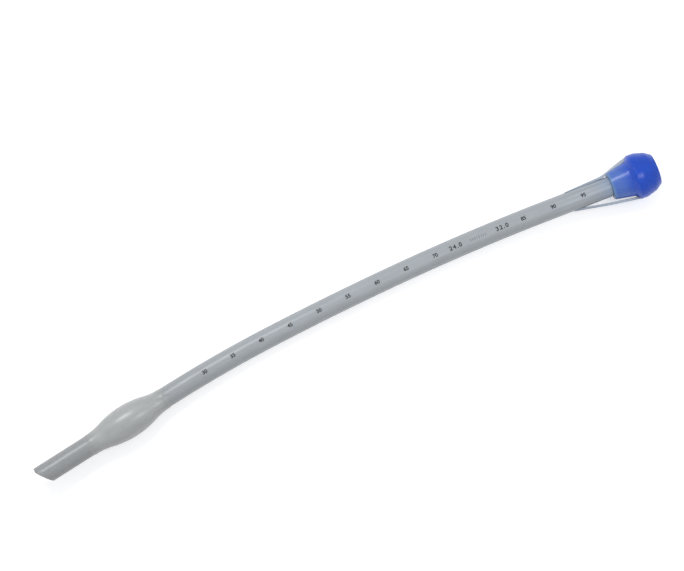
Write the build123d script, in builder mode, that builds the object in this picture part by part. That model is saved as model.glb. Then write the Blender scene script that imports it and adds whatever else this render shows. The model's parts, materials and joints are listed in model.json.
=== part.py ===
"""Cuffed silicone endotracheal tube for large animals, lying at rest on its side.

A long tube with a bevelled tip carries an air cuff near the tip and a stepped blue socket
for the breathing circuit at the other end. Two flat straps tie the socket to the tube.
The tube bows sideways and rests on its cuff, its middle and the edge of the socket.
Millimetres, +Z up, +X from the tip to the socket, origin under the middle of the part.
"""

from build123d import *
from math import degrees, hypot, radians, tan
import os

# Tube
tube_outer = 32.0
tube_bore = 24.0
bevel_angle = 32.0
bevel_roll = 22.0
tip_outer_edge_radius = 2.0
tip_inner_edge_radius = 1.2

# The way the tube lies: straight at both ends, with a sideways bow in three bends between them
tip_run = 236.0
fall_length = 180.0
flat_length = 226.0
climb_length = 262.0
tail_run = 132.0
fall_bow = 5.6
flat_bow = 2.7
climb_bow = 4.8
tip_heading = 7.0

# Air channel in the wall, from a port under the cuff to the gland
channel_bore = 2.0
port_bore = 1.8
port_to_cuff_middle = 34.0
channel_lead = 6.0

# Cuff, partly filled with air
cuff_outer = 52.0
cuff_wall = 1.2
cuff_middle = 162.0
cuff_tip_side = 66.0
cuff_socket_side = 64.0
collar_length = 8.0
collar_wall = 0.6
cavity_inset = 9.0
swell_start_share = 0.4

# Glue line between bonded pieces
bond_gap = 0.1

# Socket for the breathing circuit
seat_depth = 40.0
cone_start_diameter = 44.0
cone_end_diameter = 56.0
cone_length = 32.0
shoulder_length = 7.0
ring_diameter = 72.0
ring_length = 11.0
crown_length = 26.0
crown_diameter = 49.0
crown_taper_length = 16.0
crown_taper_drop = 4.6
ring_edge_radius = 16.0
crown_bend_radius = 12.0
crown_edge_radius = 2.0
stop_wall = 4.0
circuit_bore = 44.0
mouth_chamfer = 1.6
cone_edge_radius = 1.5
shoulder_edge_radius = 2.5

# Straps from the tube's sides to the socket's shoulder
strap_width = 11.0
strap_thickness = 4.0
strap_root_wall = 0.8
strap_roll = 12.0
strap_edge_radius = 1.2
strap_bend_radius = 150.0
left_strap_length = 109.0
left_strap_bend = 50.0
left_strap_lift = 3.4
right_strap_length = 120.0
right_strap_bend = 68.0
right_strap_lift = 10.0

# Gland of the inflation line, on the underside
gland_to_socket = 62.0
gland_nose = 4.0
gland_length = 16.0
gland_width = 7.0
gland_height = 5.6
gland_edge_radius = 2.0
line_bore = 3.0
line_height = 2.9
line_depth = 13.0

# Place of the tip that centres the part's box on the origin
tip_x = -535.036
tip_y = -16.937

tube_radius = tube_outer / 2
lumen_radius = tube_bore / 2
wall_middle = (tube_radius + lumen_radius) / 2
cuff_radius = cuff_outer / 2
ring_radius = ring_diameter / 2
tail_start = tip_run + fall_length + flat_length + climb_length
tube_length = tail_start + tail_run
cuff_start = cuff_middle - cuff_tip_side
cuff_end = cuff_middle + cuff_socket_side
port_at = cuff_middle - port_to_cuff_middle
socket_start = tube_length - seat_depth
cone_end = socket_start + cone_length
ring_start = cone_end + shoulder_length
ring_end = ring_start + ring_length
socket_end = ring_end + crown_length
gland_at = socket_start - gland_to_socket
half_turn = 180.0

# The cuff and the ring stand on the same floor as the middle of the tube
cuff_lever = tip_run - cuff_middle + fall_length / 2
crown_arc_radius = (1 - swell_start_share) * cuff_tip_side**2 / (2 * (cuff_radius - tube_radius))
crown_drop = (crown_arc_radius - cuff_radius) * ((cuff_radius - tube_radius) / cuff_lever) ** 2 / 2
tip_pitch = degrees((cuff_radius + crown_drop - tube_radius) / cuff_lever)
tail_pitch = degrees((ring_radius - tube_radius) / (ring_start - tail_start + climb_length / 2))


def ahead(plane, distance):
    """The section plane moved straight along the tube."""
    return Plane(plane.origin + plane.z_dir * distance, x_dir=plane.x_dir, z_dir=plane.z_dir)


class Bend:
    """A round bend to the right and upwards, by degrees, from a section plane."""

    def __init__(self, start, length, right, lift):
        self.start = start
        self.turn = hypot(right, lift)
        radius = length / radians(self.turn)
        inward = (start.y_dir * lift - start.x_dir * right).normalized()
        self.pivot = Axis(start.origin + inward * radius, start.z_dir.cross(inward))
        centre = self.pivot.position
        self.end = Plane(
            centre + (start.origin - centre).rotate(self.pivot, self.turn),
            x_dir=start.x_dir.rotate(self.pivot, self.turn),
            z_dir=start.z_dir.rotate(self.pivot, self.turn),
        )


def lay_out(tip):
    """The three bends that follow the straight tip."""
    fall = Bend(ahead(tip, tip_run), fall_length, fall_bow, tip_pitch)
    flat = Bend(fall.end, flat_length, flat_bow, 0)
    climb = Bend(flat.end, climb_length, climb_bow, tail_pitch)
    return fall, flat, climb


# Section planes look along the tube, with +X to its left and +Y upwards
tip_left = Vector(0, 1, 0).rotate(Axis.Z, tip_heading)
tip_direction = Vector(1, 0, 0).rotate(Axis.Y, tip_pitch).rotate(Axis.Z, tip_heading)
drop = lay_out(Plane((0, 0, 0), x_dir=tip_left, z_dir=tip_direction))[1].end.origin.Z
tip_plane = Plane((tip_x, tip_y, tube_radius - drop), x_dir=tip_left, z_dir=tip_direction)
bends = lay_out(tip_plane)

# On each straight end a station is the distance from the tip along the tube
tail_plane = ahead(bends[-1].end, -tail_start)
tip_axis = Axis(tip_plane.origin, tip_plane.z_dir)
tail_axis = Axis(tail_plane.origin, tail_plane.z_dir)


def profile_plane(plane, roll=0.0):
    """A plane through the tube's axis: +X along it, +Y outwards, rolled up from the left side."""
    outward = plane.x_dir.rotate(Axis(plane.origin, plane.z_dir), roll)
    return Plane(plane.origin, x_dir=plane.z_dir, z_dir=plane.z_dir.cross(outward))


def tube_section():
    """The tube's ring-shaped section."""
    Circle(tube_radius)
    Circle(lumen_radius, mode=Mode.SUBTRACT)


def swell(start, crown, end):
    """A smooth swelling in four arcs: out of its start, over its crown and down to its end."""
    for foot, onward in ((start, 1), (end, -1)):
        knee = Vector(*foot) + (Vector(*crown) - Vector(*foot)) * swell_start_share
        TangentArc(foot, knee, tangent=(onward, 0))
        TangentArc(crown, knee, tangent=(-onward, 0))


def air_channel_section():
    """The channel's round section, low in the tube's wall."""
    with Locations((0, -wall_middle)):
        Circle(channel_bore / 2)


with BuildPart() as tube:
    with BuildSketch(tip_plane):
        tube_section()
    extrude(amount=tip_run)
    for bend in bends:
        with BuildSketch(bend.start):
            tube_section()
        revolve(axis=bend.pivot, revolution_arc=bend.turn)
    with BuildSketch(ahead(tail_plane, tail_start)):
        tube_section()
    extrude(amount=tube_length - tail_start)
    # The bevel leaves its long point on the left, rolled a little upwards
    with BuildSketch(profile_plane(tip_plane, bevel_roll)):
        with BuildLine():
            Polyline(
                (0, tube_radius),
                (tube_outer * tan(radians(bevel_angle)), -tube_radius),
                (0, -tube_radius),
                close=True,
            )
        make_face()
    extrude(amount=tube_outer, both=True, mode=Mode.SUBTRACT)
    fillet(tube.faces().sort_by(tip_axis)[0].outer_wire().edges(), radius=tip_outer_edge_radius)
    fillet(tube.faces().sort_by(tip_axis)[0].inner_wires().edges(), radius=tip_inner_edge_radius)
    # Air channel, with its port into the cuff and its way down into the gland
    with BuildSketch(ahead(tip_plane, port_at - channel_lead)):
        air_channel_section()
    extrude(amount=tip_run - port_at + channel_lead, mode=Mode.SUBTRACT)
    for bend in bends:
        with BuildSketch(bend.start):
            air_channel_section()
        revolve(axis=bend.pivot, revolution_arc=bend.turn, mode=Mode.SUBTRACT)
    with BuildSketch(ahead(tail_plane, tail_start)):
        air_channel_section()
    extrude(amount=gland_at + port_bore - tail_start, mode=Mode.SUBTRACT)
    for plane, place in ((tip_plane, port_at), (tail_plane, gland_at)):
        port_plane = Plane(
            ahead(plane, place).origin - plane.y_dir * wall_middle,
            x_dir=plane.z_dir,
            z_dir=-plane.y_dir,
        )
        with BuildSketch(port_plane):
            Circle(port_bore / 2)
        extrude(amount=tube_radius - wall_middle + bond_gap, mode=Mode.SUBTRACT)

with BuildPart() as cuff:
    seat = tube_radius + bond_gap
    collar = seat + collar_wall
    with BuildSketch(profile_plane(tip_plane)):
        with BuildLine():
            Line((cuff_start - collar_length, seat), (cuff_start - collar_length, collar))
            Line((cuff_start - collar_length, collar), (cuff_start, collar))
            swell((cuff_start, collar), (cuff_middle, cuff_radius), (cuff_end, collar))
            Line((cuff_end, collar), (cuff_end + collar_length, collar))
            Line((cuff_end + collar_length, collar), (cuff_end + collar_length, seat))
            Line((cuff_end + collar_length, seat), (cuff_start - collar_length, seat))
        make_face()
        with BuildLine():
            Line((cuff_start + cavity_inset, seat), (cuff_start + cavity_inset, collar))
            swell(
                (cuff_start + cavity_inset, collar),
                (cuff_middle, cuff_radius - cuff_wall),
                (cuff_end - cavity_inset, collar),
            )
            Line((cuff_end - cavity_inset, collar), (cuff_end - cavity_inset, seat))
            Line((cuff_end - cavity_inset, seat), (cuff_start + cavity_inset, seat))
        make_face(mode=Mode.SUBTRACT)
    revolve(axis=tip_axis)

with BuildPart() as socket_outside:
    with BuildSketch(profile_plane(tail_plane)) as socket_outline:
        with BuildLine():
            Polyline(
                (socket_end, 0),
                (socket_start, 0),
                (socket_start, cone_start_diameter / 2),
                (cone_end, cone_end_diameter / 2),
                (ring_start, ring_radius),
                (ring_end, ring_radius),
                (ring_end + crown_taper_length, ring_radius - crown_taper_drop),
                (socket_end, crown_diameter / 2),
                close=True,
            )
        make_face()
        for corner, rounding in (
            ((socket_start, cone_start_diameter / 2), cone_edge_radius),
            ((cone_end, cone_end_diameter / 2), shoulder_edge_radius),
            ((ring_start, ring_radius), shoulder_edge_radius),
            ((ring_end, ring_radius), ring_edge_radius),
            ((ring_end + crown_taper_length, ring_radius - crown_taper_drop), crown_bend_radius),
            ((socket_end, crown_diameter / 2), crown_edge_radius),
        ):
            fillet(socket_outline.vertices().sort_by_distance(corner)[0], radius=rounding)
    revolve(axis=tail_axis)

with BuildPart() as socket:
    add(socket_outside.part)
    stop_end = tube_length + stop_wall
    with BuildSketch(profile_plane(tail_plane)):
        with BuildLine():
            Polyline(
                (socket_start, 0),
                (socket_start, tube_radius + bond_gap),
                (tube_length, tube_radius + bond_gap),
                (tube_length, lumen_radius),
                (stop_end, lumen_radius),
                (stop_end, circuit_bore / 2),
                (socket_end - mouth_chamfer, circuit_bore / 2),
                (socket_end, circuit_bore / 2 + mouth_chamfer),
                (socket_end, 0),
                close=True,
            )
        make_face()
    revolve(axis=tail_axis, mode=Mode.SUBTRACT)


def strap(roll, length, bend_from_ring, lift):
    """A flat strap from its root on the tube, over a bend, to the socket's shoulder."""
    side_plane = profile_plane(tail_plane, roll)
    outer_line = (
        (ring_start - length, tube_radius + strap_root_wall),
        (ring_start - bend_from_ring, tube_radius + lift),
        (ring_start, ring_radius - strap_root_wall),
    )
    inner_line = [(along, out - strap_thickness) for along, out in outer_line]
    with BuildPart() as made:
        with BuildSketch(side_plane) as side:
            with BuildLine():
                Polyline(*outer_line, *reversed(inner_line), close=True)
            make_face()
            for line in (outer_line, inner_line):
                fillet(side.vertices().sort_by_distance(line[1])[0], radius=strap_bend_radius)
        extrude(amount=strap_width / 2, both=True)
        flat_sides = made.faces().filter_by(Axis(side_plane.origin, side_plane.z_dir))
        fillet(flat_sides.edges(), radius=strap_edge_radius)
        with BuildSketch(ahead(tail_plane, tail_start)):
            Circle(tube_radius + bond_gap)
        extrude(amount=tube_length - tail_start, mode=Mode.SUBTRACT)
        add(socket_outside.part, mode=Mode.SUBTRACT)
    return made


left_strap = strap(strap_roll, left_strap_length, left_strap_bend, left_strap_lift)
right_strap = strap(half_turn + strap_roll, right_strap_length, right_strap_bend, right_strap_lift)

with BuildPart() as inflation_gland:
    with BuildSketch(ahead(tail_plane, gland_at - gland_nose)) as gland_section:
        with Locations((0, -tube_radius)):
            Rectangle(gland_width, 2 * gland_height)
        low_corners = gland_section.vertices().group_by(Axis.Y)[0]
        fillet(low_corners, radius=gland_edge_radius)
    extrude(amount=gland_length)
    with BuildSketch(ahead(tail_plane, tail_start)):
        Circle(tube_radius + bond_gap)
    extrude(amount=tube_length - tail_start, mode=Mode.SUBTRACT)
    with BuildSketch(ahead(tail_plane, gland_at - gland_nose + gland_length - line_depth)):
        with Locations((0, -tube_radius - line_height)):
            Circle(line_bore / 2)
    extrude(amount=line_depth, mode=Mode.SUBTRACT)
    port_plane = Plane(
        ahead(tail_plane, gland_at).origin - tail_plane.y_dir * wall_middle,
        x_dir=tail_plane.z_dir,
        z_dir=-tail_plane.y_dir,
    )
    with BuildSketch(port_plane):
        Circle(port_bore / 2)
    extrude(amount=tube_radius + line_height - wall_middle, mode=Mode.SUBTRACT)

os.makedirs("parts", exist_ok=True)

tube.part.label = "tube"
export_step(tube.part, "parts/tube.step")
cuff.part.label = "cuff"
export_step(cuff.part, "parts/cuff.step")
socket.part.label = "socket"
export_step(socket.part, "parts/socket.step")
left_strap.part.label = "left_strap"
export_step(left_strap.part, "parts/left_strap.step")
right_strap.part.label = "right_strap"
export_step(right_strap.part, "parts/right_strap.step")
inflation_gland.part.label = "inflation_gland"
export_step(inflation_gland.part, "parts/inflation_gland.step")
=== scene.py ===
"""Looks of a cuffed silicone endotracheal tube: its surfaces, its printed depth scale and a plain studio.

Each piece is modelled straight, with X as the distance from the tip, Y to the tube's left and
Z upwards. Geometry Nodes then lay it along the way the tube bows. All lengths are in metres.
"""

import json
import logging
import math
from dataclasses import dataclass, field
from enum import Enum

import bmesh
import bpy
from bpy.types import Material, Mesh, Node, NodeSocket, NodeTree, Object
from mathutils import Matrix, Vector

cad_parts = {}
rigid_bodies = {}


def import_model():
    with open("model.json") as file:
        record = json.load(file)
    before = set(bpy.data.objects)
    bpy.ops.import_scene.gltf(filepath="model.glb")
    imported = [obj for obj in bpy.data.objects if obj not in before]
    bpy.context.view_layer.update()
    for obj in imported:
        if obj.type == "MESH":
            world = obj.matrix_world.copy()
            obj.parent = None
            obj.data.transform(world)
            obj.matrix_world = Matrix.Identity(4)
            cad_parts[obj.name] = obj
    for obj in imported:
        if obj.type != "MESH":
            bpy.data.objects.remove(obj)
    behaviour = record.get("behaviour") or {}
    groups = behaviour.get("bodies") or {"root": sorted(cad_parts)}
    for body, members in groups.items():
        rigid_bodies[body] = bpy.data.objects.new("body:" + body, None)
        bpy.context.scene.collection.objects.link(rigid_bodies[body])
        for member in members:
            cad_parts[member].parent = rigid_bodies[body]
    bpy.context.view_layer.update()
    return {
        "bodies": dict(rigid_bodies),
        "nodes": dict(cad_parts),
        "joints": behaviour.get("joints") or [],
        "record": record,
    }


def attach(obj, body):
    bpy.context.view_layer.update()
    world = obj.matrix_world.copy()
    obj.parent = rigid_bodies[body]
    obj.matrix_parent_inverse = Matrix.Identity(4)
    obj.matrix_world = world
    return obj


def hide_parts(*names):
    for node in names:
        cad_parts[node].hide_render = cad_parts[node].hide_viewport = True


LOG = logging.getLogger("endotracheal_tube")
BODY = "root"
STRAIGHT = "straight"
LEFT = "left"
QUARTER_TURN = math.pi / 2
HALF_TURN = math.pi
FULL_TURN = 2 * math.pi
STRAP_ROLL = math.radians(12)
CENTIMETRES_IN_METRE = 100

Blot = tuple[float, float]
Span = tuple[float, float]
Profile = list[tuple[float, float]]
Corner = tuple[float, float, float]
Bend = tuple["Section", float, float, float, float]


def linear(hex_colour: str) -> tuple[float, float, float, float]:
    """Turns an sRGB hex colour into the linear colour that nodes take.

    Args:
        hex_colour: A colour such as "#A8ACAE".

    Returns:
        Red, green, blue and alpha, in linear light.
    """
    channels = [int(hex_colour[i : i + 2], 16) / 255 for i in (1, 3, 5)]
    levels = [c / 12.92 if c <= 0.04045 else ((c + 0.055) / 1.055) ** 2.4 for c in channels]
    return (*levels, 1.0)


def add_node(tree: NodeTree, kind: str, inputs: dict | None = None, **settings) -> Node:
    """Adds a node to a shader or geometry tree, with its settings and its links.

    Args:
        tree: The tree that gets the node.
        kind: Blender's name for the node type.
        inputs: Input name or index to a value, or to an output socket to link from.
        **settings: The node's own properties.

    Returns:
        The new node.
    """
    made = tree.nodes.new(kind)
    for name, value in settings.items():
        setattr(made, name, value)
    for key, value in (inputs or {}).items():
        if isinstance(value, NodeSocket):
            tree.links.new(value, made.inputs[key])
        else:
            made.inputs[key].default_value = value
    return made


def new_object(name: str, data: bpy.types.ID) -> Object:
    """Makes an object at the origin and puts it in the scene.

    Args:
        name: The object's name.
        data: Its mesh, text, lamp or camera.

    Returns:
        The linked object.
    """
    made = bpy.data.objects.new(name, data)
    bpy.context.scene.collection.objects.link(made)
    return made


def as_mesh(piece: Object) -> Mesh:
    """The object's mesh as its modifiers or its text settings make it."""
    graph = bpy.context.evaluated_depsgraph_get()
    return bpy.data.meshes.new_from_object(piece.evaluated_get(graph), depsgraph=graph)


@dataclass(frozen=True)
class Section:
    """A section of the tube: its place, the way along the tube and the way to its left."""

    place: Vector
    along: Vector
    left: Vector

    @property
    def up(self) -> Vector:
        """The section's upward way."""
        return self.along.cross(self.left)

    def ahead(self, distance: float) -> "Section":
        """The section moved straight along the tube."""
        return Section(self.place + self.along * distance, self.along, self.left)

    def bent(self, length: float, right: float, lift: float, distance: float) -> "Section":
        """The section carried round a bend that starts here.

        Args:
            length: The bend's whole length.
            right: Its turn to the right, in radians.
            lift: Its turn upwards, in radians.
            distance: How far into the bend the new section lies.

        Returns:
            The section at that distance.
        """
        turn = math.hypot(right, lift)
        radius = length / turn
        inward = (self.up * lift - self.left * right).normalized()
        pivot = self.place + inward * radius
        spin = Matrix.Rotation(distance / radius, 3, self.along.cross(inward))
        return Section(pivot + spin @ (self.place - pivot), spin @ self.along, spin @ self.left)


@dataclass
class Route:
    """The way the tube lies: straight at both ends, with a bow in three bends between them."""

    tip: tuple[float, float] = (-0.535036, -0.016937)
    heading: float = math.radians(7.0)
    tip_run: float = 0.236
    bend_lengths: tuple[float, ...] = (0.180, 0.226, 0.262)
    bows: tuple[float, ...] = (math.radians(5.6), math.radians(2.7), math.radians(4.8))
    tube_radius: float = 0.016
    cuff_radius: float = 0.026
    cuff_middle: float = 0.162
    crown_arc_radius: float = 0.13068
    ring_radius: float = 0.036
    ring_start: float = 1.035
    length: float = 1.080
    step: float = 0.002
    bends: list[Bend] = field(default_factory=list)

    def __post_init__(self) -> None:
        """Works out the pitch of both ends and lays the bends out from the tip."""
        cuff_rise = self.cuff_radius - self.tube_radius
        lever = self.tip_run - self.cuff_middle + self.bend_lengths[0] / 2
        crown_drop = (self.crown_arc_radius - self.cuff_radius) * (cuff_rise / lever) ** 2 / 2
        tip_pitch = (cuff_rise + crown_drop) / lever
        tail_start = self.tip_run + sum(self.bend_lengths)
        tail_lever = self.ring_start - tail_start + self.bend_lengths[2] / 2
        self.lifts = (tip_pitch, 0.0, (self.ring_radius - self.tube_radius) / tail_lever)
        spin = Matrix.Rotation(self.heading, 3, "Z")
        along = spin @ Matrix.Rotation(tip_pitch, 3, "Y") @ Vector((1, 0, 0))
        left = spin @ Vector((0, 1, 0))
        self.lay_out(Section(Vector((0, 0, 0)), along, left))
        drop = self.at(self.tip_run + sum(self.bend_lengths[:2])).place.z
        self.lay_out(Section(Vector((*self.tip, self.tube_radius - drop)), along, left))

    def lay_out(self, tip: Section) -> None:
        """Lays the bends out behind the straight tip, each with its start, station and turns.

        Args:
            tip: The section at the tip.
        """
        self.start = tip
        self.bends = []
        section, station = tip.ahead(self.tip_run), self.tip_run
        for length, right, lift in zip(self.bend_lengths, self.bows, self.lifts):
            self.bends.append((section, station, length, right, lift))
            section = section.bent(length, right, lift, length)
            station += length
        self.tail, self.tail_start = section, station

    def at(self, station: float) -> Section:
        """The section at a distance from the tip.

        Args:
            station: The distance along the axis.

        Returns:
            The section there.
        """
        if station >= self.tail_start:
            return self.tail.ahead(station - self.tail_start)
        for section, start, length, right, lift in reversed(self.bends):
            if station >= start:
                return section.bent(length, right, lift, station - start)
        return self.start.ahead(station)

    def rail(self) -> Object:
        """A chain of points along the axis, which carries the way to the left and is never shown.

        Returns:
            The rail's object.
        """
        count = round(self.length / self.step)
        sections = [self.at(self.length * i / count) for i in range(count + 1)]
        mesh = bpy.data.meshes.new("route_rail")
        mesh.from_pydata([s.place for s in sections], [(i, i + 1) for i in range(count)], [])
        sides = mesh.attributes.new(LEFT, "FLOAT_VECTOR", "POINT")
        for value, section in zip(sides.data, sections):
            value.vector = section.left
        return new_object("route_rail", mesh)


class NodeShape:
    """A Geometry Nodes tree with named inputs, applied to an object and then taken off again."""

    name = "shape"
    input_kinds: dict[str, str] = {}

    def __init__(self) -> None:
        """Makes the tree with its inputs and lets the subclass fill it."""
        self.tree = bpy.data.node_groups.new(self.name, "GeometryNodeTree")
        face = self.tree.interface
        face.new_socket("Geometry", in_out="INPUT", socket_type="NodeSocketGeometry")
        self.ids = {
            label: face.new_socket(label, in_out="INPUT", socket_type=kind).identifier
            for label, kind in self.input_kinds.items()
        }
        face.new_socket("Geometry", in_out="OUTPUT", socket_type="NodeSocketGeometry")
        self.given = add_node(self.tree, "NodeGroupInput").outputs
        self.finish_off(self.shape(self.given["Geometry"]))

    def shape(self, geometry: NodeSocket) -> NodeSocket:
        """Adds the nodes that do the work.

        Args:
            geometry: The incoming geometry.

        Returns:
            The outgoing geometry.
        """
        return geometry

    def finish_off(self, geometry: NodeSocket) -> None:
        """Ends the tree in real geometry with its finish.

        Args:
            geometry: What the tree has made.
        """
        real = add_node(self.tree, "GeometryNodeRealizeInstances", {"Geometry": geometry})
        dressed = add_node(
            self.tree,
            "GeometryNodeSetMaterial",
            {"Geometry": real.outputs["Geometry"], "Material": self.given["Finish"]},
        )
        add_node(self.tree, "NodeGroupOutput", {"Geometry": dressed.outputs["Geometry"]})

    def apply(self, piece: Object, **values) -> None:
        """Turns the piece's mesh into what the tree makes of it.

        Args:
            piece: The object to shape.
            **values: The tree's inputs, by name with underscores for spaces.
        """
        modifier = piece.modifiers.new(self.name, "NODES")
        modifier.node_group = self.tree
        for label, value in values.items():
            modifier[self.ids[label.replace("_", " ")]] = value
        made = as_mesh(piece)
        piece.modifiers.remove(modifier)
        piece.data = made
        made.name = piece.name


class WrapRound(NodeShape):
    """Wraps a flat drawing round the tube: X stays along it and Y goes round it from the top."""

    name = "wrap_round_tube"
    input_kinds = {"Radius": "NodeSocketFloat", "Finish": "NodeSocketMaterial"}

    def shape(self, geometry: NodeSocket) -> NodeSocket:
        """Turns the distance round the tube into an angle.

        Args:
            geometry: The flat drawing.

        Returns:
            The drawing wrapped round the tube.
        """
        tree = self.tree
        place = add_node(tree, "GeometryNodeInputPosition")
        parts = add_node(tree, "ShaderNodeSeparateXYZ", {0: place.outputs[0]}).outputs
        radius = self.given["Radius"]
        angle = add_node(tree, "ShaderNodeMath", {0: parts["Y"], 1: radius}, operation="DIVIDE")
        ways = []
        for kind in ("SINE", "COSINE"):
            share = add_node(tree, "ShaderNodeMath", {0: angle.outputs[0]}, operation=kind).outputs[0]
            way = add_node(tree, "ShaderNodeMath", {0: share, 1: radius}, operation="MULTIPLY")
            ways.append(way.outputs[0])
        wrapped = add_node(tree, "ShaderNodeCombineXYZ", {0: parts["X"], 1: ways[0], 2: ways[1]})
        moved = {"Geometry": geometry, "Position": wrapped.outputs[0]}
        return add_node(tree, "GeometryNodeSetPosition", moved).outputs["Geometry"]


class BarRow(NodeShape):
    """Repeats a small flat bar in a row, each of its own length."""

    name = "row_of_bars"
    shortest = 0.6
    longest = 1.0
    input_kinds = {
        "Count": "NodeSocketInt",
        "Pitch": "NodeSocketFloat",
        "Start": "NodeSocketVector",
        "Seed": "NodeSocketInt",
        "Finish": "NodeSocketMaterial",
    }

    def shape(self, geometry: NodeSocket) -> NodeSocket:
        """Sets the bar on the points of a line, with a length from a fixed seed.

        Args:
            geometry: One bar about the origin.

        Returns:
            The row of bars.
        """
        tree = self.tree
        pitch = add_node(tree, "ShaderNodeCombineXYZ", {0: self.given["Pitch"]})
        row = {
            "Count": self.given["Count"],
            "Start Location": self.given["Start"],
            "Offset": pitch.outputs[0],
        }
        line = add_node(tree, "GeometryNodeMeshLine", row)
        seed = {"Seed": self.given["Seed"]}
        length = add_node(tree, "FunctionNodeRandomValue", seed, data_type="FLOAT")
        for label, limit in (("Min", self.shortest), ("Max", self.longest)):
            plain = [end for end in length.inputs if end.name == label and end.type == "VALUE"]
            plain[0].default_value = limit
        amount = [end for end in length.outputs if end.type == "VALUE"][0]
        size = add_node(tree, "ShaderNodeCombineXYZ", {0: 1.0, 1: amount, 2: 1.0})
        bars = add_node(
            tree,
            "GeometryNodeInstanceOnPoints",
            {"Points": line.outputs["Mesh"], "Instance": geometry, "Scale": size.outputs[0]},
        )
        return bars.outputs["Instances"]


class LayAlong(NodeShape):
    """Lays a straight piece along the route and keeps its straight places for its finish."""

    name = "lay_along_route"
    input_kinds = {"Route": "NodeSocketObject", "Finish": "NodeSocketMaterial"}

    def shape(self, geometry: NodeSocket) -> NodeSocket:
        """Samples the route at X, then steps out to the left by Y and upwards by Z.

        Args:
            geometry: The straight piece.

        Returns:
            The piece as it lies.
        """
        tree = self.tree
        place = add_node(tree, "GeometryNodeInputPosition").outputs[0]
        kept = add_node(
            tree,
            "GeometryNodeStoreNamedAttribute",
            {"Geometry": geometry, "Name": STRAIGHT, "Value": place},
            data_type="FLOAT_VECTOR",
            domain="POINT",
        )
        rail = add_node(tree, "GeometryNodeObjectInfo", {"Object": self.given["Route"]})
        curve = add_node(tree, "GeometryNodeMeshToCurve", {"Mesh": rail.outputs["Geometry"]})
        side = add_node(tree, "GeometryNodeInputNamedAttribute", {"Name": LEFT}, data_type="FLOAT_VECTOR")
        parts = add_node(tree, "ShaderNodeSeparateXYZ", {0: place}).outputs
        sample = add_node(
            tree,
            "GeometryNodeSampleCurve",
            {"Curves": curve.outputs["Curve"], "Value": side.outputs["Attribute"], "Length": parts["X"]},
            data_type="FLOAT_VECTOR",
            mode="LENGTH",
        ).outputs
        ways = {0: sample["Tangent"], 1: sample["Value"]}
        up = add_node(tree, "ShaderNodeVectorMath", ways, operation="CROSS_PRODUCT")
        laid = sample["Position"]
        for way, amount in ((sample["Value"], parts["Y"]), (up.outputs[0], parts["Z"])):
            step = add_node(tree, "ShaderNodeVectorMath", {0: way, "Scale": amount}, operation="SCALE")
            laid = add_node(tree, "ShaderNodeVectorMath", {0: laid, 1: step.outputs[0]}).outputs[0]
        moved = {"Geometry": kept.outputs["Geometry"], "Position": laid}
        return add_node(tree, "GeometryNodeSetPosition", moved).outputs["Geometry"]


@dataclass
class Workshop:
    """The route and the three node trees that every piece is shaped with."""

    route: Route = field(default_factory=Route)

    def __post_init__(self) -> None:
        """Makes the rail and the trees."""
        self.rail = self.route.rail()
        self.laying = LayAlong()
        self.wrapping = WrapRound()
        self.bars = BarRow()

    def lay(self, piece: Object, finish: Material) -> None:
        """Lays a straight piece along the route, smooth and dressed."""
        self.laying.apply(piece, Route=self.rail, Finish=finish)
        piece.data.shade_smooth()

    def clear(self) -> None:
        """Takes the rail away once every piece is laid."""
        bpy.data.objects.remove(self.rail)


def new_piece(name: str, vertices: list[Vector], faces: list[tuple[int, ...]]) -> Object:
    """Makes a mesh object at the origin.

    Args:
        name: The piece's name.
        vertices: Its points.
        faces: Its faces, as point numbers.

    Returns:
        The linked object.
    """
    mesh = bpy.data.meshes.new(name)
    mesh.from_pydata(vertices, [], faces)
    return new_object(name, mesh)


def ring_piece(name: str, rings: list[list[Vector]], closed: bool) -> Object:
    """Joins rings of points into one skin.

    Args:
        name: The piece's name.
        rings: The rings, each with its points in right-handed order about the way they follow.
        closed: True joins the last ring to the first, and False caps both ends.

    Returns:
        The linked object.
    """
    around = len(rings[0])
    points = [point for ring in rings for point in ring]
    faces = []
    for row in range(len(rings) if closed else len(rings) - 1):
        here, there = row * around, (row + 1) % len(rings) * around
        for i in range(around):
            j = (i + 1) % around
            faces.append((here + i, here + j, there + j, there + i))
    if not closed:
        last = (len(rings) - 1) * around
        faces.append(tuple(reversed(range(around))))
        faces.append(tuple(range(last, last + around)))
    return new_piece(name, points, faces)


def revolved_piece(name: str, profile: Profile, segments: int) -> Object:
    """Turns a closed profile about the tube's axis.

    Args:
        name: The piece's name.
        profile: Station and radius of each point, with the outer side towards the socket.
        segments: How many steps the turn has.

    Returns:
        The linked object.
    """
    turns = [FULL_TURN * i / segments for i in range(segments)]
    rings = [[Vector((x, r * math.cos(t), r * math.sin(t))) for t in turns] for x, r in profile]
    return ring_piece(name, rings, closed=True)


def arc_corner(corner: Vector, before: Vector, after: Vector, rounding: float, steps: int) -> Profile:
    """A corner rounded by an arc.

    Args:
        corner: Where the two sides meet.
        before: The way from the corner back along the first side.
        after: The way from the corner on along the second side.
        rounding: The arc's radius.
        steps: How many steps the arc has.

    Returns:
        The arc's points, from the first side to the second.
    """
    half = before.angle(after) / 2
    middle = corner + (before + after).normalized() * rounding / math.sin(half)
    first = corner + before * rounding / math.tan(half) - middle
    last = corner + after * rounding / math.tan(half) - middle
    sweep = first.angle_signed(last)
    spins = [Matrix.Rotation(-sweep * step / steps, 2) for step in range(steps + 1)]
    return [tuple(middle + spin @ first) for spin in spins]


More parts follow.
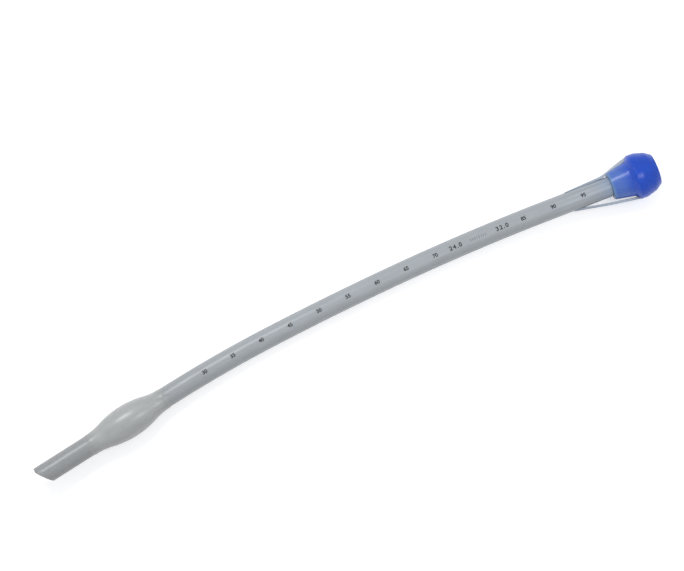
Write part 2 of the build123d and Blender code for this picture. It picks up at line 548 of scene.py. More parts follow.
def rounded_profile(corners: tuple[Corner, ...], steps: int = 6) -> Profile:
    """A closed profile with an arc at each corner that has a radius.

    Args:
        corners: Station, radius from the axis and rounding of each corner.
        steps: How many steps each arc has.

    Returns:
        The profile's points.
    """
    outline = []
    for i, (x, r, rounding) in enumerate(corners):
        corner = Vector((x, r))
        if rounding == 0:
            outline.append((x, r))
            continue
        before = (Vector(corners[i - 1][:2]) - corner).normalized()
        after = (Vector(corners[(i + 1) % len(corners)][:2]) - corner).normalized()
        outline += arc_corner(corner, before, after, rounding, steps)
    return outline


def even_steps(first: float, last: float, spacing: float) -> list[float]:
    """Evenly spaced values from first to last, both kept."""
    count = max(1, round(abs(last - first) / spacing))
    return [first + (last - first) * i / count for i in range(count + 1)]


def bare_material(name: str) -> Material:
    """A node material whose tree is still empty.

    Args:
        name: What the finish really is.

    Returns:
        The material.
    """
    made = bpy.data.materials.new(name)
    made.use_nodes = True
    made.node_tree.nodes.clear()
    return made


class Ground:
    """A material's tree with the piece's straight places, which every pattern on it follows."""

    noise_detail = 3.0
    noise_grain = 0.55

    def __init__(self, material: Material) -> None:
        """Reads the straight places in the material's tree.

        Args:
            material: The material, whose tree is still empty.
        """
        self.tree = material.node_tree
        places = add_node(self.tree, "ShaderNodeAttribute", attribute_name=STRAIGHT)
        self.straight = places.outputs["Vector"]

    def station(self) -> NodeSocket:
        """The distance from the tip."""
        return add_node(self.tree, "ShaderNodeSeparateXYZ", {0: self.straight}).outputs["X"]

    def noise(self, blot: Blot) -> NodeSocket:
        """Noise whose blots are as long and as wide as given, in metres.

        Args:
            blot: Their length along the tube and their width across it.

        Returns:
            The noise, from 0 to 1.
        """
        along, across = blot
        scale = (1 / along, 1 / across, 1 / across)
        sized = add_node(self.tree, "ShaderNodeMapping", {"Vector": self.straight, "Scale": scale})
        pattern = {
            "Vector": sized.outputs[0],
            "Scale": 1.0,
            "Detail": self.noise_detail,
            "Roughness": self.noise_grain,
        }
        return add_node(self.tree, "ShaderNodeTexNoise", pattern).outputs[0]

    def turning(
        self,
        place: NodeSocket,
        span: Span,
        first: NodeSocket | str,
        second: NodeSocket | str,
        most: float = 1.0,
        easing: str = "SMOOTHSTEP",
    ) -> NodeSocket:
        """One colour that turns into another.

        Args:
            place: What the turn follows, such as the distance from the tip.
            span: Where the turn starts and where it is at its most.
            first: The colour before, as a hex colour or from a node.
            second: The colour after, given in the same way.
            most: How much of the second colour there is in the end.
            easing: How the turn runs between the two places.

        Returns:
            The mixed colour.
        """
        amount = add_node(
            self.tree,
            "ShaderNodeMapRange",
            {"Value": place, "From Min": span[0], "From Max": span[1], "To Max": most},
            interpolation_type=easing,
        )
        before, after = [linear(tone) if isinstance(tone, str) else tone for tone in (first, second)]
        return add_node(
            self.tree,
            "ShaderNodeMix",
            {"Factor": amount.outputs[0], "A": before, "B": after},
            data_type="RGBA",
        ).outputs["Result"]


@dataclass(frozen=True)
class Silicone:
    """Silicone rubber. It is soft to look at: light sinks in a few millimetres and comes out again."""

    name: str
    pale: str
    deep: str
    roughness: float
    sink: float
    sink_depth: float
    streaks: float
    clouds: float
    gloss: float = 0.5
    waves: float = 0.15
    ior: float = 1.41
    sink_colours: tuple[float, float, float] = (1.0, 0.95, 0.9)
    cloud: Blot = (0.045, 0.012)
    # Real drawn lines are some tenths of a millimetre wide. These are wider, so that they show.
    drawn_line: Blot = (0.150, 0.0022)
    patch: Blot = (0.020, 0.009)
    patch_change: float = 0.06
    wave: Blot = (0.012, 0.003)
    wave_height: float = 0.00008

    def material(self) -> Material:
        """The finish as a node material, whose patterns follow the piece's straight places.

        Returns:
            The material.
        """
        made = bare_material(self.name)
        ground = Ground(made)
        surface = add_node(
            ground.tree,
            "ShaderNodeBsdfPrincipled",
            {
                "Base Color": self.colour(ground, self.shade(ground)),
                "Roughness": self.sheen(ground),
                "IOR": self.ior,
                "Specular IOR Level": self.gloss,
                "Subsurface Weight": self.sink,
                "Subsurface Radius": self.sink_colours,
                "Subsurface Scale": self.sink_depth,
                "Normal": self.relief(ground),
            },
        )
        add_node(ground.tree, "ShaderNodeOutputMaterial", {"Surface": surface.outputs[0]})
        return made

    def shade(self, ground: Ground) -> NodeSocket:
        """How deep the colour is, from soft clouds in the rubber and lines drawn out along it.

        Args:
            ground: The material's tree and the places that its patterns follow.

        Returns:
            The shade, from 0 to 1.
        """
        shares = []
        for blot, amount in ((self.cloud, self.clouds), (self.drawn_line, self.streaks)):
            parts = {0: ground.noise(blot), 1: amount}
            share = add_node(ground.tree, "ShaderNodeMath", parts, operation="MULTIPLY")
            shares.append(share.outputs[0])
        both = dict(enumerate(shares))
        return add_node(ground.tree, "ShaderNodeMath", both, use_clamp=True).outputs[0]

    def colour(self, ground: Ground, shade: NodeSocket) -> NodeSocket:
        """The pale and the deep colour mixed by the shade.

        Args:
            ground: The material's tree and the places that its patterns follow.
            shade: How deep the colour is, from 0 to 1.

        Returns:
            The colour.
        """
        return add_node(
            ground.tree,
            "ShaderNodeMix",
            {"Factor": shade, "A": linear(self.pale), "B": linear(self.deep)},
            data_type="RGBA",
        ).outputs["Result"]

    def sheen(self, ground: Ground) -> NodeSocket:
        """The roughness, a little uneven as handled rubber is.

        Args:
            ground: The material's tree and the places that its patterns follow.

        Returns:
            The roughness.
        """
        least, most = self.roughness - self.patch_change, self.roughness + self.patch_change
        patches = {"Value": ground.noise(self.patch), "To Min": least, "To Max": most}
        return add_node(ground.tree, "ShaderNodeMapRange", patches).outputs[0]

    def relief(self, ground: Ground) -> NodeSocket:
        """Waves about 3 mm wide in the skin, no more than 0.02 mm high.

        Args:
            ground: The material's tree and the places that its patterns follow.

        Returns:
            The normal with the waves in it.
        """
        waves = {"Height": ground.noise(self.wave), "Strength": self.waves, "Distance": self.wave_height}
        return add_node(ground.tree, "ShaderNodeBump", waves).outputs[0]


@dataclass(frozen=True)
class ExtrudedMilkySilicone(Silicone):
    """Milky tube extruded in one run, darker and greyer towards its tip, with lines along it near the
    socket.

    Close to the socket its colour turns blue: painted blue light, bounced from the socket.
    """

    tip_tone: str = "#898A8A"
    # This turn runs from the body back to the tip.
    tip_span: Span = (0.420, 0.030)
    tip_most: float = 0.75
    # The streaks are wider than real ones too, for the same reason.
    streak: Blot = (0.240, 0.0050)
    streak_tones: tuple[tuple[float, str], ...] = ((0.36, "#8A9096"), (0.64, "#A6ABB2"))
    streak_span: Span = (0.880, 0.960)
    streak_most: float = 0.75
    # Painted blue light bounced from the socket onto the tube just before it.
    tinge: str = "#8293AE"
    tinge_span: Span = (0.960, 0.998)
    tinge_most: float = 0.6

    def colour(self, ground: Ground, shade: NodeSocket) -> NodeSocket:
        """The milky colour, with light and dark lines towards the socket and painted blue bounce light
        beside it.

        Args:
            ground: The material's tree and the places that its patterns follow.
            shade: How deep the colour is, from 0 to 1.

        Returns:
            The colour.
        """
        milky = super().colour(ground, shade)
        station = ground.station()
        milky = ground.turning(station, self.tip_span, milky, self.tip_tone, self.tip_most)
        ramp = add_node(ground.tree, "ShaderNodeValToRGB", {0: ground.noise(self.streak)})
        for stop, (position, tone) in zip(ramp.color_ramp.elements, self.streak_tones):
            stop.position, stop.color = position, linear(tone)
        streaks = ramp.outputs[0]
        lined = ground.turning(station, self.streak_span, milky, streaks, self.streak_most, "LINEAR")
        # Mixes in the painted blue bounce light from the socket.
        return ground.turning(station, self.tinge_span, lined, self.tinge, self.tinge_most)


@dataclass(frozen=True)
class MouldedBlueSilicone(Silicone):
    """Blue silicone, thin at the cone and thick at the ring, so the cone lets more light through."""

    thin: str = "#4A69B2"
    thin_span: Span = (1.008, 1.036)
    rim: str = "#6080AA"
    rim_span: Span = (0.996, 1.002)

    def colour(self, ground: Ground, shade: NodeSocket) -> NodeSocket:
        """Full blue in the ring, paler in the cone and palest at the cone's thin rim.

        Args:
            ground: The material's tree and the places that its patterns follow.
            shade: How deep the colour is, from 0 to 1.

        Returns:
            The colour.
        """
        full = super().colour(ground, shade)
        station = ground.station()
        cone = ground.turning(station, self.thin_span, self.thin, full)
        return ground.turning(station, self.rim_span, self.rim, cone)


@dataclass(frozen=True)
class DippedCuffFilm(Silicone):
    """Thin film of dipped silicone, a little paler than the tube that it runs down to at its ends."""

    tube_tone: str = "#959797"
    middle: float = 0.162
    bonded_span: Span = (0.050, 0.068)

    def colour(self, ground: Ground, shade: NodeSocket) -> NodeSocket:
        """The film's colour, turning into the tube's where the film is bonded down.

        Args:
            ground: The material's tree and the places that its patterns follow.
            shade: How deep the colour is, from 0 to 1.

        Returns:
            The colour.
        """
        film = super().colour(ground, shade)
        offset = {0: ground.station(), 1: self.middle}
        side = add_node(ground.tree, "ShaderNodeMath", offset, operation="SUBTRACT").outputs[0]
        away = add_node(ground.tree, "ShaderNodeMath", {0: side}, operation="ABSOLUTE").outputs[0]
        return ground.turning(away, self.bonded_span, film, self.tube_tone)


@dataclass(frozen=True)
class PadPrintedInk:
    """Thin black ink pad-printed on silicone, worn through in small specks."""

    name: str
    ink: str
    worn: str
    wear: float
    # Specks of about 0.7 mm.
    speck_scale: float = 1400.0
    speck_detail: float = 2.0
    speck_span: Span = (0.45, 0.75)
    roughness: float = 0.55
    ior: float = 1.5

    def material(self) -> Material:
        """The finish as a node material.

        Returns:
            The material.
        """
        made = bare_material(self.name)
        ground = Ground(made)
        worn = {"Vector": ground.straight, "Scale": self.speck_scale, "Detail": self.speck_detail}
        specks = add_node(ground.tree, "ShaderNodeTexNoise", worn).outputs[0]
        colour = ground.turning(specks, self.speck_span, self.ink, self.worn, self.wear, "LINEAR")
        surface = add_node(
            ground.tree,
            "ShaderNodeBsdfPrincipled",
            {"Base Color": colour, "Roughness": self.roughness, "IOR": self.ior},
        )
        add_node(ground.tree, "ShaderNodeOutputMaterial", {"Surface": surface.outputs[0]})
        return made


# Milky silicone rubber, extruded: light sinks in and comes back grey, with one soft long highlight
# and faint lines drawn out along it.
MILKY_TUBE = ExtrudedMilkySilicone(
    "extruded_milky_silicone",
    pale="#A1A6A9",
    deep="#8E9396",
    roughness=0.33,
    sink=0.35,
    sink_depth=0.004,
    streaks=0.35,
    clouds=0.75,
    waves=0.25,
)
# Thin silicone film, dipped and blown up a little: smoother than the tube, with a round soft
# highlight and pale clouds where the air behind it shows.
CUFF_FILM = DippedCuffFilm(
    "dipped_cuff_silicone",
    pale="#ABADAD",
    deep="#939593",
    roughness=0.29,
    sink=0.45,
    sink_depth=0.005,
    streaks=0.1,
    clouds=0.9,
    waves=0.1,
)
# Clear silicone, moulded flat: pale and cool, because it carries light along to its edges.
CLEAR_STRAP = Silicone(
    "moulded_clear_silicone",
    pale="#9AA4AF",
    deep="#848F9D",
    roughness=0.30,
    sink=0.45,
    sink_depth=0.004,
    streaks=0.3,
    clouds=0.6,
)
# Pigmented silicone, moulded in a polished tool: full blue where it is thick, greyer where light
# gets through its thin parts, and shiny all over.
BLUE_SOCKET = MouldedBlueSilicone(
    "moulded_blue_silicone",
    pale="#1D4CB9",
    deep="#1742A8",
    roughness=0.27,
    sink=0.30,
    sink_depth=0.006,
    streaks=0.0,
    clouds=1.0,
    gloss=0.35,
)
# Silicone ink put on with a soft pad: flat black with small worn specks, and a weaker second print.
SCALE_INK = PadPrintedInk("pad_printed_black_ink", ink="#111316", worn="#34383D", wear=0.4)
FAINT_INK = PadPrintedInk("pad_printed_faint_ink", ink="#5E6365", worn="#8C9091", wear=0.6)


def declare(piece: Object, slot: str | None = None, *nodes: str) -> None:
    """Ties a finished piece to the body and hides the nodes that it replaces.

    Args:
        piece: The finished object.
        slot: The record's material slot, or None for print. It is not used.
        *nodes: The nodes it replaces.
    """
    if nodes:
        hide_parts(*nodes)
    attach(piece, BODY)
    LOG.info("%s: %d faces", piece.name, len(piece.data.polygons))


@dataclass
class Airway:
    """The tube: one extrusion with a rounded bevel at the tip and the open bore."""

    outer: float = 0.016
    bore: float = 0.012
    length: float = 1.036
    bevel_angle: float = math.radians(32)
    bevel_roll: float = math.radians(22)
    nose_radius: float = 0.0035
    nose_rounding: float = 0.0012
    heel_rounding: float = 0.0040
    inner_rounding: float = 0.0010
    even_from: float = 0.05
    lead_in: tuple[float, ...] = (0.25, 0.5, 0.75)
    segments: int = 96
    ring_spacing: float = 0.010
    corner_steps: int = 6

    def build(self, shop: Workshop) -> None:
        """Makes the tube and lays it along the route.

        Args:
            shop: The route and the node trees.
        """
        turns = [FULL_TURN * i / self.segments for i in range(self.segments)]
        outlines = [self.outline(turn) for turn in turns]
        rings = [
            [Vector((x, r * math.cos(turn), r * math.sin(turn))) for turn, (x, r) in zip(turns, row)]
            for row in zip(*outlines)
        ]
        piece = ring_piece("tube_skin", rings, closed=True)
        shop.lay(piece, MILKY_TUBE.material())
        declare(piece, "tube_silicone", "tube")

    def outline(self, turn: float) -> Profile:
        """The wall's outline at one angle: in along the bore, round the tip and back outside.

        Args:
            turn: The angle from the tube's left, upwards.

        Returns:
            Station and radius of each point.
        """
        lean = math.cos(turn - self.bevel_roll)
        outer_corner = Vector((self.cut(self.outer * lean), self.outer))
        inner_corner = Vector((self.cut(self.bore * lean), self.bore))
        across = (inner_corner - outer_corner).normalized()
        onward = Vector((1, 0))
        to_heel = (1 - lean) / 2
        rounding = self.nose_rounding + (self.heel_rounding - self.nose_rounding) * to_heel**2
        inner = arc_corner(inner_corner, onward, -across, self.inner_rounding, self.corner_steps)
        outer = arc_corner(outer_corner, across, onward, rounding, self.corner_steps)
        run = list(reversed(even_steps(self.length, self.even_from, self.ring_spacing)))
        skin, bore = [
            [(start + (self.even_from - start) * share, radius) for share in self.lead_in]
            + [(x, radius) for x in run]
            for start, radius in ((outer[-1][0], self.outer), (inner[0][0], self.bore))
        ]
        return [*reversed(bore), *inner, *outer, *skin]

    def cut(self, side: float) -> float:
        """The station of the slanted cut, with the long point rounded off.

        Args:
            side: The distance from the axis towards the long point.

        Returns:
            The distance from the tip.
        """
        middle = self.outer - self.nose_radius
        if side < middle - self.nose_radius * math.sin(self.bevel_angle):
            return (self.outer - side) * math.tan(self.bevel_angle)
        centre = self.nose_radius * (1 / math.cos(self.bevel_angle) + math.tan(self.bevel_angle))
        return centre - math.sqrt(self.nose_radius**2 - (side - middle) ** 2)


@dataclass
class Cuff:
    """The cuff: a thin silicone balloon bonded at both ends and partly filled with air."""

    seat: float = 0.0150
    feather: float = 0.01595
    feather_steps: int = 8
    collar: float = 0.0167
    crown: float = 0.026
    middle: float = 0.162
    tip_side: float = 0.066
    socket_side: float = 0.064
    collar_length: float = 0.008
    start_share: float = 0.4
    arc_steps: int = 14
    segments: int = 96

    def build(self, shop: Workshop) -> None:
        """Makes the cuff and lays it along the route.

        Args:
            shop: The route and the node trees.
        """
        start, end = self.middle - self.tip_side, self.middle + self.socket_side
        rising = self.half_swell(start)
        falling = [tuple(point) for point in reversed(self.half_swell(end))]
        profile = (
            self.bonded_end(start, -self.collar_length)
            + rising
            + falling[1:]
            + self.bonded_end(end, self.collar_length)[::-1]
        )
        piece = revolved_piece("cuff_balloon", profile, self.segments)
        shop.lay(piece, CUFF_FILM.material())
        declare(piece, "cuff_silicone", "cuff")

    def bonded_end(self, foot: float, run: float) -> Profile:
        """The bonded collar, feathered down until it lies in the tube's skin.

        Args:
            foot: The station at which the swell starts.
            run: How far the collar reaches past it, towards either end.

        Returns:
            The points from the hidden edge to just before the foot.
        """
        points = [(foot + run, self.seat)]
        for step in range(1, self.feather_steps):
            share = step / self.feather_steps
            climb = (self.collar - self.feather) * share**2
            points.append((foot + run * (1 - share), self.feather + climb))
        return points

    def half_swell(self, foot: float) -> Profile:
        """Two tangent arcs from a collar up to the crown.

        Args:
            foot: The station at which the swell starts.

        Returns:
            The points from the collar to the crown.
        """
        run, rise = self.middle - foot, self.crown - self.collar
        total = (run**2 + rise**2) / (2 * rise)
        hollow, round_ = total * self.start_share, total * (1 - self.start_share)
        knee = run * self.start_share
        points = []
        for x in even_steps(0, knee, abs(knee) / self.arc_steps):
            points.append((foot + x, self.collar + hollow - math.sqrt(hollow**2 - x**2)))
        for x in even_steps(knee, run, abs(run - knee) / self.arc_steps)[1:]:
            points.append((foot + x, self.crown - round_ + math.sqrt(round_**2 - (run - x) ** 2)))
        return points


@dataclass
class CircuitSocket:
    """The blue socket: a cone, a shoulder and a thick ring, open at its mouth for the circuit.

    Each corner has its distance from the tip, its radius and its rounding.
    """

    seat: tuple[Corner, ...] = ((1.0359, 0.0161, 0.0), (0.996, 0.0161, 0.0))
    cone: tuple[Corner, ...] = ((0.996, 0.0220, 0.0028), (1.028, 0.0280, 0.0025))
    ring: tuple[Corner, ...] = ((1.035, 0.0360, 0.0025), (1.046, 0.0360, 0.016))
    taper: tuple[Corner, ...] = ((1.062, 0.0314, 0.012), (1.072, 0.0245, 0.0020))
    mouth: tuple[Corner, ...] = ((1.072, 0.0236, 0.0002), (1.0704, 0.0220, 0.0004))
    bore: tuple[Corner, ...] = ((1.0400, 0.0220, 0.0006), (1.0400, 0.0120, 0.0004))
    stop: tuple[Corner, ...] = ((1.0361, 0.0120, 0.0), (1.0361, 0.0161, 0.0))
    segments: int = 160

    def build(self, shop: Workshop) -> None:
        """Makes the socket and lays it along the route.

        Args:
            shop: The route and the node trees.
        """
        corners = (*self.seat, *self.cone, *self.ring, *self.taper, *self.mouth, *self.bore, *self.stop)
        piece = revolved_piece("circuit_socket", rounded_profile(corners), self.segments)
        shop.lay(piece, BLUE_SOCKET.material())
        declare(piece, "socket_silicone", "socket")


@dataclass
class Strap:
    """A flat clear strap from the tube's side to the socket's shoulder."""

    name: str
    roll: float
    length: float
    bend_from_ring: float
    lift: float
    bend_radius: float
    width: float = 0.011
    thickness: float = 0.004
    root_wall: float = 0.0008
    edge_radius: float = 0.0012
    ring_start: float = 1.035
    ring_radius: float = 0.036
    tube_radius: float = 0.016
    foot_start: float = 0.995
    twist: float = 0.0
    twist_haste: float = 1.6
    sunk: float = 0.0
    corner_steps: int = 4
    bend_steps: int = 12
    climb_spacing: float = 0.25

    def build(self, shop: Workshop, finish: Material) -> None:
        """Makes the strap, turned on its side towards the shoulder, and lays it along the route.

        Args:
            shop: The route and the node trees.
            finish: The clear silicone.
        """
        outward = Vector((0, math.cos(self.roll), math.sin(self.roll)))
        sideways = Vector((0, -math.sin(self.roll), math.cos(self.roll)))
        section = self.section()
        rings = []
        for x, top in self.top_line():
            foot = max(0.0, x - self.foot_start) / (self.ring_start - self.foot_start)
            spin = Matrix.Rotation(self.twist * min(1.0, self.twist_haste * foot), 3, "X")
            middle = Vector((x, 0, 0)) + outward * (top - self.thickness / 2 - self.sunk * foot)
            rings.append([middle + spin @ (outward * a + sideways * b) for a, b in section])
        piece = ring_piece(f"{self.name}_band", rings, closed=False)
        shop.lay(piece, finish)
        declare(piece, "strap_silicone", self.name)

    def section(self) -> Profile:
        """The strap's rounded flat section, outward and sideways from its middle.

        Returns:
            The section's points, in order round it.
        """
        radius = self.edge_radius
        tall, wide = self.thickness / 2 - radius, self.width / 2 - radius
        points = []
        for quarter, (a, b) in enumerate(((tall, wide), (-tall, wide), (-tall, -wide), (tall, -wide))):
            for step in range(self.corner_steps + 1):
                angle = QUARTER_TURN * (quarter + step / self.corner_steps)
                points.append((a + radius * math.cos(angle), b + radius * math.sin(angle)))
        return points

    def top_line(self) -> Profile:
        """The strap's outer line, straight on both sides of its bend.

        Returns:
            Station and distance from the axis of each point.
        """
        root = Vector((self.ring_start - self.length, self.tube_radius + self.root_wall))
        bend = Vector((self.ring_start - self.bend_from_ring, self.tube_radius + self.lift))
        end = Vector((self.ring_start, self.ring_radius - self.root_wall))
        back, onward = (root - bend).normalized(), (end - bend).normalized()
        curve = arc_corner(bend, back, onward, self.bend_radius, self.bend_steps)
        shares = even_steps(0.0, 1.0, self.climb_spacing)[1:]
        return [tuple(root), *curve, *[tuple(Vector(curve[-1]).lerp(end, share)) for share in shares]]


LEFT_STRAP = Strap(
    "left_strap",
    roll=STRAP_ROLL,
    length=0.109,
    bend_from_ring=0.046,
    lift=0.0040,
    bend_radius=0.050,
    twist=math.radians(22),
    sunk=0.0020,
)
RIGHT_STRAP = Strap(
    "right_strap",
    roll=HALF_TURN + STRAP_ROLL,
    length=0.104,
    bend_from_ring=0.050,
    lift=0.0113,
    bend_radius=0.100,
)


@dataclass
class CarriedOver:
    """A node whose own shape is shown, merged and smoothed in a copy."""

    node: str
    name: str
    smooth_angle: float = math.radians(35)
    merge_distance: float = 1e-6

    def build(self, frame: dict, finish: Material, slot: str) -> None:
        """Makes the copy.

        Args:
            finish: The copy's material.
            slot: The record's material slot.
        """
        source = frame["nodes"][self.node]
        mesh = source.data.copy()
        mesh.transform(source.matrix_world)
        work = bmesh.new()
        work.from_mesh(mesh)
        bmesh.ops.remove_doubles(work, verts=work.verts, dist=self.merge_distance)
        for face in work.faces:
            face.smooth = True
        for edge in work.edges:
            edge.smooth = edge.is_manifold and edge.calc_face_angle(0.0) < self.smooth_angle
        work.to_mesh(mesh)
        work.free()
        mesh.materials.clear()
        mesh.materials.append(finish)
        keep = mesh.attributes.new(STRAIGHT, "FLOAT_VECTOR", "POINT")
        for value, vertex in zip(keep.data, mesh.vertices):
            value.vector = vertex.co
        declare(new_object(self.name, mesh), slot, self.node)


class Mark(Enum):
    """The kinds of printed number."""

    DEPTH = "depth"
    SIZE = "size"


@dataclass
class PrintedScale:
    """Depth numbers every 5 cm from the tip, and the bore and outside sizes in millimetres."""

    tube_radius: float = 0.016
    film: float = 0.00004
    aside: float = -0.001
    strip: float = 0.0007
    weight: float = 0.0003
    depths: tuple[int, ...] = (30, 35, 40, 45, 50, 55, 60, 65, 70, 85, 90, 95)
    sizes: tuple[tuple[str, float], ...] = (("24.0", 0.735), ("32.0", 0.814))
    heights: dict = field(default_factory=lambda: {Mark.DEPTH: 0.0058, Mark.SIZE: 0.0068})
    spacings: dict = field(default_factory=lambda: {Mark.DEPTH: 1.0, Mark.SIZE: 1.3})
    digit_share: float = 0.70
    resolution: int = 6
    reach: float = 0.006
    bar_station: float = 0.773
    bar_count: int = 8
    bar_pitch: float = 0.0036
    bar_size: tuple[float, float] = (0.0009, 0.0060)
    bar_seed: int = 4

    def build(self, shop: Workshop) -> None:
        """Makes the numbers and the faint bars, wraps them and lays them along the route.

        Args:
            shop: The route and the node trees.
        """
        numbers = [(str(depth), depth / CENTIMETRES_IN_METRE, Mark.DEPTH) for depth in self.depths]
        numbers += [(text, station, Mark.SIZE) for text, station in self.sizes]
        drawing = bmesh.new()
        for text, station, mark in numbers:
            self.draw(drawing, text, station, mark)
        ink = SCALE_INK.material()
        self.finish(shop, self.as_piece("printed_numbers", drawing), ink)
        faint = FAINT_INK.material()
        bars = self.as_piece("printed_bars", self.one_bar())
        start = self.bar_station - self.bar_pitch * (self.bar_count - 1) / 2
        shop.bars.apply(
            bars,
            Count=self.bar_count,
            Pitch=self.bar_pitch,
            Start=(start, self.aside, 0.0),
            Seed=self.bar_seed,
            Finish=faint,
        )
        self.finish(shop, bars, faint)

    def draw(self, drawing: bmesh.types.BMesh, text: str, station: float, mark: Mark) -> None:
        """Adds one number to the flat drawing.

        Args:
            drawing: The drawing, with X along the tube and Y round it.
            text: The digits.
            station: The distance of their middle from the tip.
            mark: Which kind of number it is.
        """
        letters = bpy.data.curves.new("digits", "FONT")
        letters.body = text
        letters.align_x = "CENTER"
        letters.align_y = "CENTER"
        letters.size = self.heights[mark] / self.digit_share
        letters.space_character = self.spacings[mark]
        letters.offset = self.weight
        letters.resolution_u = self.resolution
        holder = new_object("digits", letters)
        flat = as_mesh(holder)
        flat.transform(Matrix.Translation((station, self.aside, 0)))
        drawing.from_mesh(flat)
        bpy.data.objects.remove(holder)
        bpy.data.meshes.remove(flat)

    def one_bar(self) -> bmesh.types.BMesh:
        """One upright bar about the origin.

        Returns:
            The bar as a flat drawing.
        """
        x, y = self.bar_size[0] / 2, self.bar_size[1] / 2
        bar = bmesh.new()
        corners = ((-x, -y, 0), (x, -y, 0), (x, y, 0), (-x, y, 0))
        bar.faces.new([bar.verts.new(corner) for corner in corners])
        return bar

    def as_piece(self, name: str, drawing: bmesh.types.BMesh) -> Object:
        """Cuts the drawing into narrow strips, so that it can bend, and makes it an object.

        Args:
            name: The piece's name.
            drawing: The flat drawing, which is used up.

        Returns:
            The flat piece.
        """
        for y in even_steps(-self.reach, self.reach, self.strip):
            everything = [*drawing.verts, *drawing.edges, *drawing.faces]
            bmesh.ops.bisect_plane(drawing, geom=everything, plane_co=(0, y, 0), plane_no=(0, 1, 0))
        mesh = bpy.data.meshes.new(name)
        drawing.to_mesh(mesh)
        drawing.free()
        return new_object(name, mesh)

    def finish(self, shop: Workshop, piece: Object, ink: Material) -> None:
        """Wraps the drawing round the tube and lays it along the route.

        Args:
            shop: The route and the node trees.
            piece: The flat drawing.
            ink: Its finish.
        """
        shop.wrapping.apply(piece, Radius=self.tube_radius + self.film, Finish=ink)
        shop.lay(piece, ink)
        declare(piece)


@dataclass(frozen=True)
class Lamp:
    """A square soft lamp, placed from the target to the picture's right, straight ahead and up."""

    name: str
    right: float
    ahead: float
    height: float
    size: float
    power: float
    colour: str


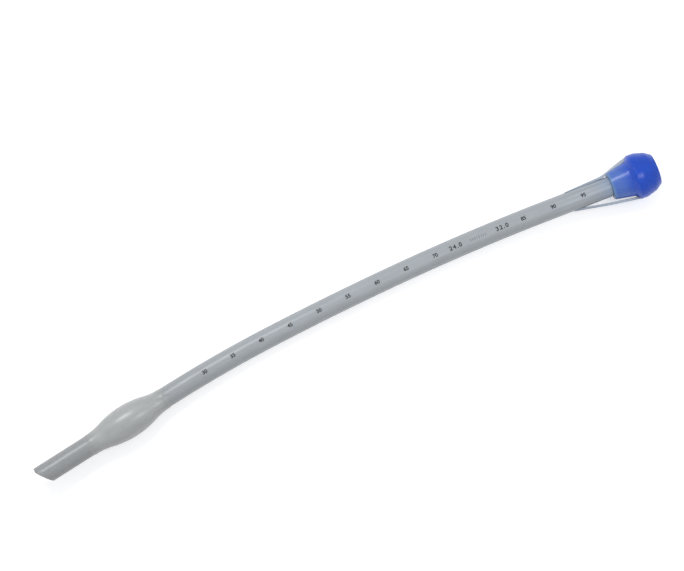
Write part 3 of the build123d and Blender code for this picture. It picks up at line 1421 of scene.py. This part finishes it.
@dataclass
class Studio:
    """A pale floor, soft light from the upper left of the picture, and the photograph's view."""

    azimuth: float = math.radians(26.595)
    elevation: float = math.radians(78)
    distance: float = 3.0
    target: Vector = field(default_factory=lambda: Vector((0.01444, 0.05087, 0.0)))
    pixels_per_metre: float = 640.4
    picture_width: int = 684
    sensor: float = 36.0
    far_clip: float = 50.0
    key: Lamp = Lamp("key", -0.88, 0.92, 2.0, 0.7, 28.0, "#F9FBFF")
    overhead: Lamp = Lamp("overhead", 0.93, -0.25, 2.0, 0.6, 12.0, "#F4F7FF")
    sky_light: float = 0.64
    sky_seen: float = 1.0
    sky_colour: str = "#FFFFFF"
    floor_colour: str = "#E4E4E4"
    floor_lift: float = 0.42
    floor_size: float = 12.0
    floor_drop: float = 0.0001

    def build(self) -> None:
        """Makes the camera, the lights, the world and the floor."""
        self.flat = Vector((math.sin(self.azimuth), math.cos(self.azimuth), 0))
        self.look = self.flat * math.cos(self.elevation) - Vector((0, 0, math.sin(self.elevation)))
        self.right = Vector((math.cos(self.azimuth), -math.sin(self.azimuth), 0))
        self.camera()
        self.lights()
        self.world()
        self.floor()
        bpy.context.scene.view_settings.view_transform = "Standard"

    def camera(self) -> None:
        """Sets the camera up at the photograph's angle."""
        lens = bpy.data.cameras.new("camera")
        lens.sensor_width = self.sensor
        focal_pixels = self.pixels_per_metre * self.distance
        lens.lens = focal_pixels * self.sensor / self.picture_width
        lens.clip_end = self.far_clip
        camera = new_object("camera", lens)
        up = self.right.cross(self.look)
        turn = Matrix((self.right, up, -self.look)).transposed().to_4x4()
        camera.matrix_world = Matrix.Translation(self.target - self.look * self.distance) @ turn
        bpy.context.scene.camera = camera

    def lights(self) -> None:
        """Hangs a soft key at the picture's upper left and a weaker lamp to its right."""
        for lamp in (self.key, self.overhead):
            light = bpy.data.lights.new(lamp.name, "AREA")
            light.size = lamp.size
            light.energy = lamp.power
            light.color = linear(lamp.colour)[:3]
            step = self.right * lamp.right + self.flat * lamp.ahead + Vector((0, 0, lamp.height))
            aim = (-step).to_track_quat("-Z", "Y").to_matrix().to_4x4()
            new_object(lamp.name, light).matrix_world = Matrix.Translation(self.target + step) @ aim

    def backdrop_rays(self, tree: NodeTree) -> NodeSocket:
        """One for the rays that show the background itself, in gloss and through clear parts too.

        Args:
            tree: The tree that asks.

        Returns:
            One for those rays and nought for the others.
        """
        rays = add_node(tree, "ShaderNodeLightPath").outputs
        seen = rays["Is Camera Ray"]
        for more in ("Is Glossy Ray", "Is Transmission Ray"):
            seen = add_node(tree, "ShaderNodeMath", {0: seen, 1: rays[more]}, use_clamp=True).outputs[0]
        return seen

    def world(self) -> None:
        """Lights everything evenly and shows white behind the floor."""
        world = bpy.data.worlds.new("studio")
        bpy.context.scene.world = world
        world.use_nodes = True
        tree = world.node_tree
        tree.nodes.clear()
        levels = {"Value": self.backdrop_rays(tree), "To Min": self.sky_light, "To Max": self.sky_seen}
        strength = add_node(tree, "ShaderNodeMapRange", levels).outputs[0]
        white = {"Color": linear(self.sky_colour), "Strength": strength}
        sky = add_node(tree, "ShaderNodeBackground", white)
        add_node(tree, "ShaderNodeOutputWorld", {"Surface": sky.outputs[0]})

    def floor(self) -> None:
        """Lays a pale floor that reads white where no shadow falls."""
        half, level = self.floor_size / 2, -self.floor_drop
        sides = ((-half, -half), (half, -half), (half, half), (-half, half))
        floor = new_piece("studio_floor", [Vector((x, y, level)) for x, y in sides], [(0, 1, 2, 3)])
        paint = bare_material("matt_white_paint")
        tree = paint.node_tree
        matt = add_node(tree, "ShaderNodeBsdfDiffuse", {"Color": linear(self.floor_colour)})
        shown = {0: self.backdrop_rays(tree), 1: self.floor_lift}
        lift = add_node(tree, "ShaderNodeMath", shown, operation="MULTIPLY")
        glow = add_node(tree, "ShaderNodeEmission", {"Strength": lift.outputs[0]})
        both = add_node(tree, "ShaderNodeAddShader", {0: matt.outputs[0], 1: glow.outputs[0]})
        add_node(tree, "ShaderNodeOutputMaterial", {"Surface": both.outputs[0]})
        floor.data.materials.append(paint)


def main() -> None:
    """Builds the pieces in order."""
    logging.basicConfig(level=logging.INFO, format="%(name)s: %(message)s")
    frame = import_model()
    shop = Workshop()
    Airway().build(shop)
    Cuff().build(shop)
    CircuitSocket().build(shop)
    clear = CLEAR_STRAP.material()
    LEFT_STRAP.build(shop, clear)
    RIGHT_STRAP.build(shop, clear)
    milky = bpy.data.materials[MILKY_TUBE.name]
    CarriedOver("inflation_gland", "gland_moulding").build(frame, milky, "tube_silicone")
    PrintedScale().build(shop)
    shop.clear()
    Studio().build()


if __name__ == "__main__":
    main()
